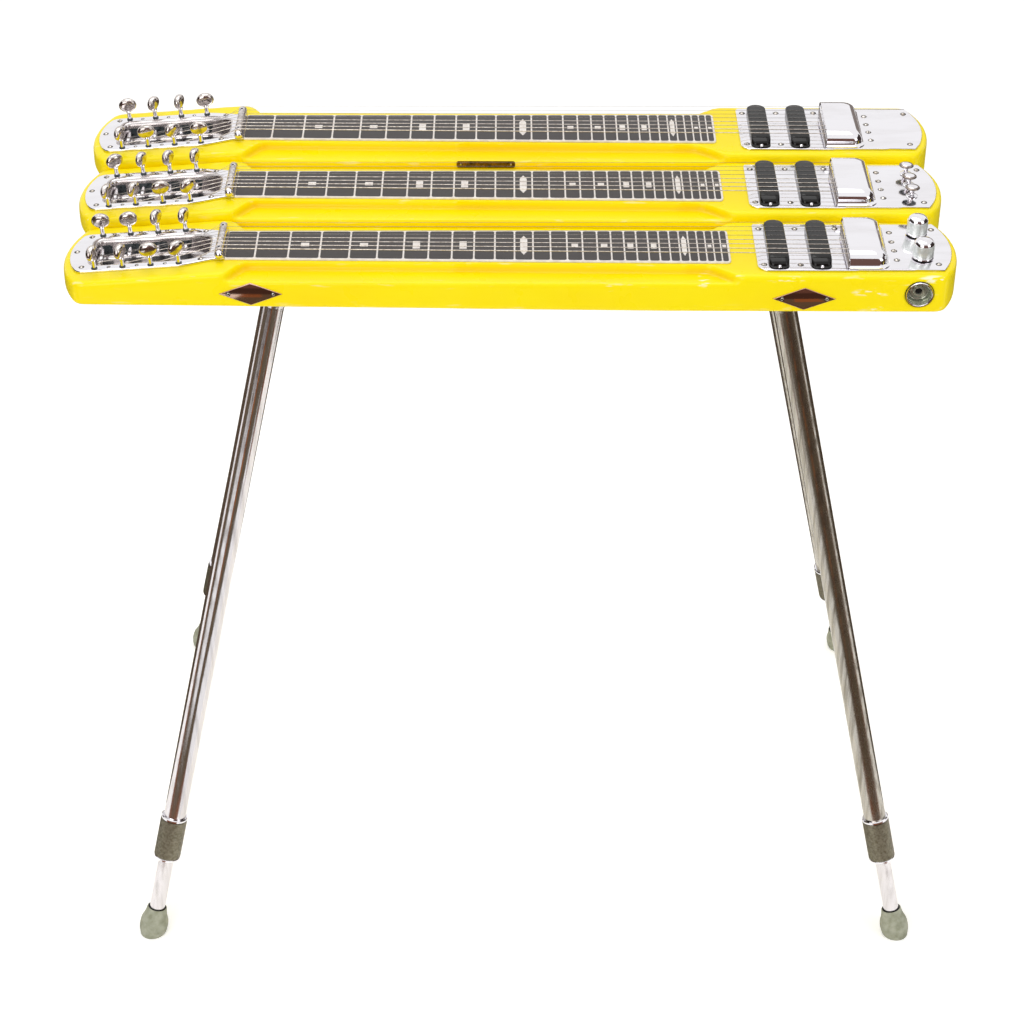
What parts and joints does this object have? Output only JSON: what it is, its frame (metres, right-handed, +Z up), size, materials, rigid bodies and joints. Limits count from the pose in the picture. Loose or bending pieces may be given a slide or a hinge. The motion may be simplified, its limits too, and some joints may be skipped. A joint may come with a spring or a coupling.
{
  "type": "triple-neck console steel guitar",
  "caption": "Console steel guitar with stepped solid necks side by side, sunken tuner pans, pickups, covered bridges and splayed telescoping tubular legs.",
  "frame": {"origin": "on the floor, under the middle of the object's box", "axes": "+X along the necks from the heads to the bridges, +Y from the player's side to the back, +Z up"},
  "size_m": [0.8326, 0.518, 0.7746],
  "materials": {
    "yellow_enamel": "glossy yellow lacquer over hardwood, worn along its edges",
    "fretboard_black": "satin black with white fret lines and markers",
    "chrome_plate": "bright chrome plate with light wear",
    "pickup_black": "moulded black, semi-gloss",
    "bronze_plate": "aged bronze, bare",
    "leg_chrome": "worn chrome tube",
    "foot_rubber": "aged grey-green rubber",
    "collar_steel": "knurled, dulled"
  },
  "bodies": {
    "root": {"badge_plate": "bronze_plate", "front_body": "yellow_enamel", "front_bridge_cover": "chrome_plate", "front_bridge_pickup": "pickup_black", "front_control_plate": "chrome_plate", "front_fretboard": "fretboard_black", "front_left_leg_tube": "leg_chrome", "front_neck_pickup": "pickup_black", "front_right_leg_tube": "leg_chrome", "front_tuner_pan": "chrome_plate", "jack_socket": "chrome_plate", "middle_body": "yellow_enamel", "middle_bridge_cover": "chrome_plate", "middle_bridge_pickup": "pickup_black", "middle_control_plate": "chrome_plate", "middle_fretboard": "fretboard_black", "middle_neck_pickup": "pickup_black", "middle_tuner_pan": "chrome_plate", "rear_body": "yellow_enamel", "rear_bridge_cover": "chrome_plate", "rear_bridge_pickup": "pickup_black", "rear_control_plate": "chrome_plate", "rear_fretboard": "fretboard_black", "rear_left_leg_tube": "leg_chrome", "rear_neck_pickup": "pickup_black", "rear_right_leg_tube": "leg_chrome", "rear_tuner_pan": "chrome_plate"},
    "front_tuner_key_1": {"front_tuner_key_1": "chrome_plate"},
    "front_tuner_key_2": {"front_tuner_key_2": "chrome_plate"},
    "front_tuner_key_3": {"front_tuner_key_3": "chrome_plate"},
    "front_tuner_key_4": {"front_tuner_key_4": "chrome_plate"},
    "front_tuner_key_5": {"front_tuner_key_5": "chrome_plate"},
    "front_tuner_key_6": {"front_tuner_key_6": "chrome_plate"},
    "front_tuner_key_7": {"front_tuner_key_7": "chrome_plate"},
    "front_tuner_key_8": {"front_tuner_key_8": "chrome_plate"},
    "middle_tuner_key_1": {"middle_tuner_key_1": "chrome_plate"},
    "middle_tuner_key_2": {"middle_tuner_key_2": "chrome_plate"},
    "middle_tuner_key_3": {"middle_tuner_key_3": "chrome_plate"},
    "middle_tuner_key_4": {"middle_tuner_key_4": "chrome_plate"},
    "middle_tuner_key_5": {"middle_tuner_key_5": "chrome_plate"},
    "middle_tuner_key_6": {"middle_tuner_key_6": "chrome_plate"},
    "middle_tuner_key_7": {"middle_tuner_key_7": "chrome_plate"},
    "middle_tuner_key_8": {"middle_tuner_key_8": "chrome_plate"},
    "rear_tuner_key_1": {"rear_tuner_key_1": "chrome_plate"},
    "rear_tuner_key_2": {"rear_tuner_key_2": "chrome_plate"},
    "rear_tuner_key_3": {"rear_tuner_key_3": "chrome_plate"},
    "rear_tuner_key_4": {"rear_tuner_key_4": "chrome_plate"},
    "rear_tuner_key_5": {"rear_tuner_key_5": "chrome_plate"},
    "rear_tuner_key_6": {"rear_tuner_key_6": "chrome_plate"},
    "rear_tuner_key_7": {"rear_tuner_key_7": "chrome_plate"},
    "rear_tuner_key_8": {"rear_tuner_key_8": "chrome_plate"},
    "volume_knob": {"volume_knob": "chrome_plate"},
    "tone_knob": {"tone_knob": "chrome_plate"},
    "front_selector_button": {"front_selector_button": "chrome_plate"},
    "middle_selector_button": {"middle_selector_button": "chrome_plate"},
    "rear_selector_button": {"rear_selector_button": "chrome_plate"},
    "front_left_leg_extension": {"front_left_leg_extension": "leg_chrome"},
    "front_right_leg_extension": {"front_right_leg_extension": "leg_chrome"},
    "rear_left_leg_extension": {"rear_left_leg_extension": "leg_chrome"},
    "rear_right_leg_extension": {"rear_right_leg_extension": "leg_chrome"}
  },
  "joints": [
    {"name": "front_tuner_key_1_turn", "type": "hinge", "parent": "root", "child": "front_tuner_key_1", "pos_m": [-0.30572, -0.07785, 0.73545], "axis": [-0.0785, 0, 0.9969], "continuous": true},
    {"name": "front_tuner_key_2_turn", "type": "hinge", "parent": "root", "child": "front_tuner_key_2", "pos_m": [-0.33164, -0.07785, 0.73341], "axis": [-0.0785, 0, 0.9969], "continuous": true},
    {"name": "front_tuner_key_3_turn", "type": "hinge", "parent": "root", "child": "front_tuner_key_3", "pos_m": [-0.35756, -0.07785, 0.73137], "axis": [-0.0785, 0, 0.9969], "continuous": true},
    {"name": "front_tuner_key_4_turn", "type": "hinge", "parent": "root", "child": "front_tuner_key_4", "pos_m": [-0.38348, -0.07785, 0.72933], "axis": [-0.0785, 0, 0.9969], "continuous": true},
    {"name": "front_tuner_key_5_turn", "type": "hinge", "parent": "root", "child": "front_tuner_key_5", "pos_m": [-0.30572, -0.14085, 0.73545], "axis": [-0.0785, 0, 0.9969], "continuous": true},
    {"name": "front_tuner_key_6_turn", "type": "hinge", "parent": "root", "child": "front_tuner_key_6", "pos_m": [-0.33164, -0.14085, 0.73341], "axis": [-0.0785, 0, 0.9969], "continuous": true},
    {"name": "front_tuner_key_7_turn", "type": "hinge", "parent": "root", "child": "front_tuner_key_7", "pos_m": [-0.35756, -0.14085, 0.73137], "axis": [-0.0785, 0, 0.9969], "continuous": true},
    {"name": "front_tuner_key_8_turn", "type": "hinge", "parent": "root", "child": "front_tuner_key_8", "pos_m": [-0.38348, -0.14085, 0.72933], "axis": [-0.0785, 0, 0.9969], "continuous": true},
    {"name": "middle_tuner_key_1_turn", "type": "hinge", "parent": "root", "child": "middle_tuner_key_1", "pos_m": [-0.30572, 0.03015, 0.74245], "axis": [-0.0785, 0, 0.9969], "continuous": true},
    {"name": "middle_tuner_key_2_turn", "type": "hinge", "parent": "root", "child": "middle_tuner_key_2", "pos_m": [-0.33164, 0.03015, 0.74041], "axis": [-0.0785, 0, 0.9969], "continuous": true},
    {"name": "middle_tuner_key_3_turn", "type": "hinge", "parent": "root", "child": "middle_tuner_key_3", "pos_m": [-0.35756, 0.03015, 0.73837], "axis": [-0.0785, 0, 0.9969], "continuous": true},
    {"name": "middle_tuner_key_4_turn", "type": "hinge", "parent": "root", "child": "middle_tuner_key_4", "pos_m": [-0.38348, 0.03015, 0.73633], "axis": [-0.0785, 0, 0.9969], "continuous": true},
    {"name": "middle_tuner_key_5_turn", "type": "hinge", "parent": "root", "child": "middle_tuner_key_5", "pos_m": [-0.30572, -0.03285, 0.74245], "axis": [-0.0785, 0, 0.9969], "continuous": true},
    {"name": "middle_tuner_key_6_turn", "type": "hinge", "parent": "root", "child": "middle_tuner_key_6", "pos_m": [-0.33164, -0.03285, 0.74041], "axis": [-0.0785, 0, 0.9969], "continuous": true},
    {"name": "middle_tuner_key_7_turn", "type": "hinge", "parent": "root", "child": "middle_tuner_key_7", "pos_m": [-0.35756, -0.03285, 0.73837], "axis": [-0.0785, 0, 0.9969], "continuous": true},
    {"name": "middle_tuner_key_8_turn", "type": "hinge", "parent": "root", "child": "middle_tuner_key_8", "pos_m": [-0.38348, -0.03285, 0.73633], "axis": [-0.0785, 0, 0.9969], "continuous": true},
    {"name": "rear_tuner_key_1_turn", "type": "hinge", "parent": "root", "child": "rear_tuner_key_1", "pos_m": [-0.30572, 0.13815, 0.74945], "axis": [-0.0785, 0, 0.9969], "continuous": true},
    {"name": "rear_tuner_key_2_turn", "type": "hinge", "parent": "root", "child": "rear_tuner_key_2", "pos_m": [-0.33164, 0.13815, 0.74741], "axis": [-0.0785, 0, 0.9969], "continuous": true},
    {"name": "rear_tuner_key_3_turn", "type": "hinge", "parent": "root", "child": "rear_tuner_key_3", "pos_m": [-0.35756, 0.13815, 0.74537], "axis": [-0.0785, 0, 0.9969], "continuous": true},
    {"name": "rear_tuner_key_4_turn", "type": "hinge", "parent": "root", "child": "rear_tuner_key_4", "pos_m": [-0.38348, 0.13815, 0.74333], "axis": [-0.0785, 0, 0.9969], "continuous": true},
    {"name": "rear_tuner_key_5_turn", "type": "hinge", "parent": "root", "child": "rear_tuner_key_5", "pos_m": [-0.30572, 0.07515, 0.74945], "axis": [-0.0785, 0, 0.9969], "continuous": true},
    {"name": "rear_tuner_key_6_turn", "type": "hinge", "parent": "root", "child": "rear_tuner_key_6", "pos_m": [-0.33164, 0.07515, 0.74741], "axis": [-0.0785, 0, 0.9969], "continuous": true},
    {"name": "rear_tuner_key_7_turn", "type": "hinge", "parent": "root", "child": "rear_tuner_key_7", "pos_m": [-0.35756, 0.07515, 0.74537], "axis": [-0.0785, 0, 0.9969], "continuous": true},
    {"name": "rear_tuner_key_8_turn", "type": "hinge", "parent": "root", "child": "rear_tuner_key_8", "pos_m": [-0.38348, 0.07515, 0.74333], "axis": [-0.0785, 0, 0.9969], "continuous": true},
    {"name": "volume_knob_turn", "type": "hinge", "parent": "root", "child": "volume_knob", "pos_m": [0.37668, -0.12985, 0.738], "axis": [0, 0, 1], "range_deg": [-150, 150]},
    {"name": "tone_knob_turn", "type": "hinge", "parent": "root", "child": "tone_knob", "pos_m": [0.37668, -0.08485, 0.738], "axis": [0, 0, 1], "range_deg": [-150, 150]},
    {"name": "front_selector_button_press", "type": "slide", "parent": "root", "child": "front_selector_button", "axis": [0, 0, -1], "range_m": [0, 0.004], "stiffness_N_per_m": 400, "springref_m": -0.002},
    {"name": "middle_selector_button_press", "type": "slide", "parent": "root", "child": "middle_selector_button", "axis": [0, 0, -1], "range_m": [0, 0.004], "stiffness_N_per_m": 400, "springref_m": -0.002},
    {"name": "rear_selector_button_press", "type": "slide", "parent": "root", "child": "rear_selector_button", "axis": [0, 0, -1], "range_m": [0, 0.004], "stiffness_N_per_m": 400, "springref_m": -0.002},
    {"name": "front_left_leg_extension_slide", "type": "slide", "parent": "root", "child": "front_left_leg_extension", "axis": [-0.2101, -0.1865, -0.9597], "range_m": [-0.04, 0.22]},
    {"name": "front_right_leg_extension_slide", "type": "slide", "parent": "root", "child": "front_right_leg_extension", "axis": [0.2101, -0.1865, -0.9597], "range_m": [-0.04, 0.22]},
    {"name": "rear_left_leg_extension_slide", "type": "slide", "parent": "root", "child": "rear_left_leg_extension", "axis": [-0.2101, 0.1865, -0.9597], "range_m": [-0.04, 0.22]},
    {"name": "rear_right_leg_extension_slide", "type": "slide", "parent": "root", "child": "rear_right_leg_extension", "axis": [0.2101, 0.1865, -0.9597], "range_m": [-0.04, 0.22]}
  ]
}
